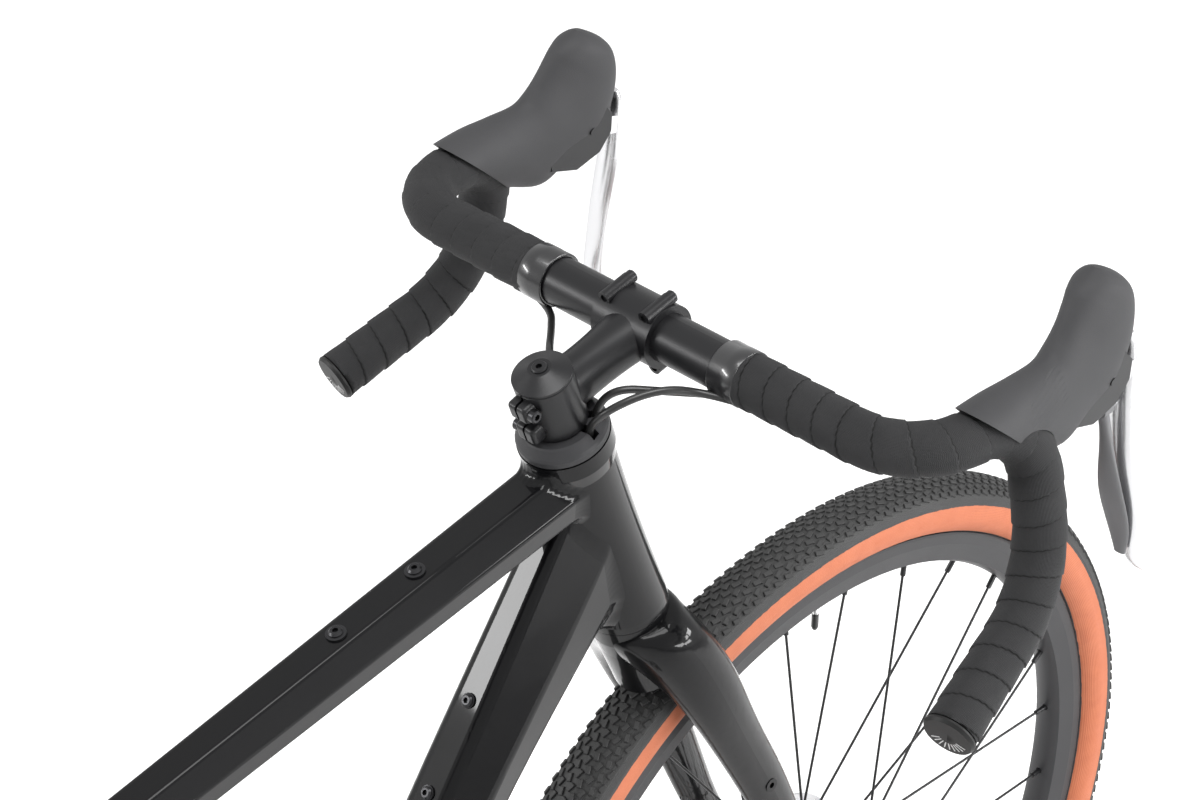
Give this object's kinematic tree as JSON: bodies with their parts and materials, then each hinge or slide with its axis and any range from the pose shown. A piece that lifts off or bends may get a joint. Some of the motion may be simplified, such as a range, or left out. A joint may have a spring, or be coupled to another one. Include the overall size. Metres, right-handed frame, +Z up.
{
  "type": "gravel bike",
  "caption": "Drop-bar gravel bicycle with a welded faceted frame, disc brakes, single-ring derailleur drive and wide tyres; bar, wheels, cranks, levers and saddle move.",
  "frame": {"origin": "on the ground under the middle of the wheelbase", "axes": "+X forward, +Y to the rider's left, +Z up"},
  "size_m": [1.754, 0.5784, 1.0165],
  "materials": {
    "frame_paint": "deep gloss black clear coat",
    "dropout_paint": "satin black",
    "black_alloy": "satin black anodised",
    "cover_grey": "satin dark grey",
    "bolt_steel": "black-oxide steel",
    "bearing_steel": "ground steel",
    "axle_steel": "black anodised",
    "caliper_black": "black anodised",
    "hose_black": "semi-gloss black sleeve",
    "tape": "dark grey textured tape",
    "plug_plastic": "gloss black",
    "hood_rubber": "matte grey rubber",
    "bracket_plastic": "black composite",
    "lever_alloy": "polished silver",
    "paddle_grey": "grey composite",
    "rim_grey": "dark grey matte",
    "tyre_rubber": "black tread with a tan side wall",
    "spoke_steel": "black steel",
    "rotor_steel": "brushed stainless",
    "valve_metal": "plain metal with a black cap",
    "chain_steel": "bright steel",
    "cog_steel": "bright steel",
    "ring_alloy": "black anodised",
    "pedal_plastic": "black composite",
    "derailleur_alloy": "dark grey anodised",
    "pulley_plastic": "black composite",
    "saddle_cover": "black padded cover",
    "rail_steel": "black steel"
  },
  "bodies": {
    "frame": {"head_tube": "frame_paint", "top_tube": "frame_paint", "down_tube": "frame_paint", "seat_tube": "frame_paint", "bottom_bracket_shell": "frame_paint", "chainstays": "frame_paint", "seatstays": "frame_paint", "dropouts": "dropout_paint", "derailleur_hanger": "dropout_paint", "seat_collar": "black_alloy", "frame_bolts": "bolt_steel", "frame_bearings": "bearing_steel", "rear_caliper": "caliper_black", "rear_thru_axle": "axle_steel", "rear_lines": "hose_black", "chain": "chain_steel", "derailleur_knuckle": "derailleur_alloy"},
    "steering": {"fork": "frame_paint", "headset_cover": "cover_grey", "stem": "black_alloy", "stem_faceplate": "black_alloy", "stem_bolts": "bolt_steel", "top_cap": "black_alloy", "handlebar": "black_alloy", "bar_tape": "tape", "bar_end_plugs": "plug_plastic", "hoods": "hood_rubber", "lever_brackets": "bracket_plastic", "control_hoses": "hose_black", "front_caliper": "caliper_black", "front_thru_axle": "axle_steel"},
    "left_lever": {"left_brake_lever": "lever_alloy"},
    "right_lever": {"right_brake_lever": "lever_alloy"},
    "paddle": {"shift_paddle": "paddle_grey"},
    "front_wheel": {"front_rim": "rim_grey", "front_tyre": "tyre_rubber", "front_hub": "black_alloy", "front_spokes": "spoke_steel", "front_rotor": "rotor_steel", "front_valve": "valve_metal"},
    "rear_wheel": {"rear_rim": "rim_grey", "rear_tyre": "tyre_rubber", "rear_hub": "black_alloy", "rear_spokes": "spoke_steel", "rear_rotor": "rotor_steel", "rear_valve": "valve_metal"},
    "cassette": {"cassette": "cog_steel"},
    "crank": {"crank_arms": "black_alloy", "chainring": "ring_alloy"},
    "left_pedal": {"left_pedal": "pedal_plastic"},
    "right_pedal": {"right_pedal": "pedal_plastic"},
    "outer_link": {"derailleur_outer_link": "derailleur_alloy"},
    "inner_link": {"derailleur_inner_link": "derailleur_alloy"},
    "moving_knuckle": {"derailleur_moving_knuckle": "derailleur_alloy"},
    "cage": {"derailleur_cage": "derailleur_alloy"},
    "guide_pulley": {"guide_pulley": "pulley_plastic"},
    "tension_pulley": {"tension_pulley": "pulley_plastic"},
    "seat": {"seatpost": "black_alloy", "saddle": "saddle_cover", "saddle_rails": "rail_steel"}
  },
  "joints": [
    {"name": "steering_turn", "type": "hinge", "parent": "frame", "child": "steering", "pos_m": [0.32996, 0, 0.74569], "axis": [-0.3338, 0, 0.9426], "range_deg": [-65, 65]},
    {"name": "left_brake", "type": "hinge", "parent": "steering", "child": "left_lever", "pos_m": [0.50572, 0.221, 0.94182], "axis": [0, 1, 0], "range_deg": [0, 18], "stiffness_Nm_per_rad": 3, "springref_deg": -20.05},
    {"name": "right_brake", "type": "hinge", "parent": "steering", "child": "right_lever", "pos_m": [0.50572, -0.221, 0.94182], "axis": [0, 1, 0], "range_deg": [0, 18], "stiffness_Nm_per_rad": 3, "springref_deg": -20.05},
    {"name": "shift_swing", "type": "hinge", "parent": "right_lever", "child": "paddle", "pos_m": [0.52072, -0.222, 0.90882], "axis": [1, 0, 0], "range_deg": [0, 14], "stiffness_Nm_per_rad": 1, "springref_deg": -20.05},
    {"name": "front_wheel_spin", "type": "hinge", "parent": "steering", "child": "front_wheel", "pos_m": [0.521, 0, 0.356], "axis": [0, 1, 0], "continuous": true},
    {"name": "rear_wheel_spin", "type": "hinge", "parent": "frame", "child": "rear_wheel", "pos_m": [-0.521, 0, 0.356], "axis": [0, 1, 0], "continuous": true},
    {"name": "crank_spin", "type": "hinge", "parent": "frame", "child": "crank", "pos_m": [-0.09251, 0, 0.281], "axis": [0, 1, 0], "continuous": true, "deforming": ["chain"]},
    {"name": "cassette_spin", "type": "hinge", "parent": "frame", "child": "cassette", "pos_m": [-0.521, 0, 0.356], "axis": [0, 1, 0], "continuous": true, "deforming": ["chain"]},
    {"name": "left_pedal_spin", "type": "hinge", "parent": "crank", "child": "left_pedal", "pos_m": [-0.26501, 0.12, 0.281], "axis": [0, 1, 0], "continuous": true},
    {"name": "right_pedal_spin", "type": "hinge", "parent": "crank", "child": "right_pedal", "pos_m": [0.07999, -0.12, 0.281], "axis": [0, 1, 0], "continuous": true},
    {"name": "gear_shift", "type": "hinge", "parent": "frame", "child": "outer_link", "pos_m": [-0.531, -0.098, 0.302], "axis": [-0.9899, 0, -0.1414], "range_deg": [-20, 20], "deforming": ["chain"]},
    {"name": "inner_link_swing", "type": "hinge", "parent": "frame", "child": "inner_link", "pos_m": [-0.531, -0.083, 0.302], "axis": [-0.9899, 0, -0.1414], "range_deg": [-20, 20], "deforming": ["chain"]},
    {"name": "knuckle_swing", "type": "hinge", "parent": "outer_link", "child": "moving_knuckle", "pos_m": [-0.525, -0.076, 0.26], "axis": [-0.9899, 0, -0.1414], "range_deg": [-20, 20], "deforming": ["chain"]},
    {"name": "cage_swing", "type": "hinge", "parent": "moving_knuckle", "child": "cage", "pos_m": [-0.524, -0.047, 0.244], "axis": [0, 1, 0], "range_deg": [-18, 18], "stiffness_Nm_per_rad": 4, "deforming": ["chain"]},
    {"name": "guide_pulley_spin", "type": "hinge", "parent": "cage", "child": "guide_pulley", "pos_m": [-0.509, -0.047, 0.236], "axis": [0, 1, 0], "continuous": true, "deforming": ["chain"]},
    {"name": "tension_pulley_spin", "type": "hinge", "parent": "cage", "child": "tension_pulley", "pos_m": [-0.48991, -0.047, 0.17282], "axis": [0, 1, 0], "continuous": true, "deforming": ["chain"]},
    {"name": "saddle_height", "type": "slide", "parent": "frame", "child": "seat", "axis": [-0.284, 0, 0.9588], "range_m": [-0.09, 0.09]}
  ],
  "couplings": [
    {"joint": "cassette_spin", "follows": "crank_spin", "ratio": 2.1053},
    {"joint": "guide_pulley_spin", "follows": "crank_spin", "ratio": -3.3333},
    {"joint": "tension_pulley_spin", "follows": "crank_spin", "ratio": 3.3333},
    {"joint": "inner_link_swing", "follows": "gear_shift", "ratio": 1},
    {"joint": "knuckle_swing", "follows": "gear_shift", "ratio": -1}
  ]
}
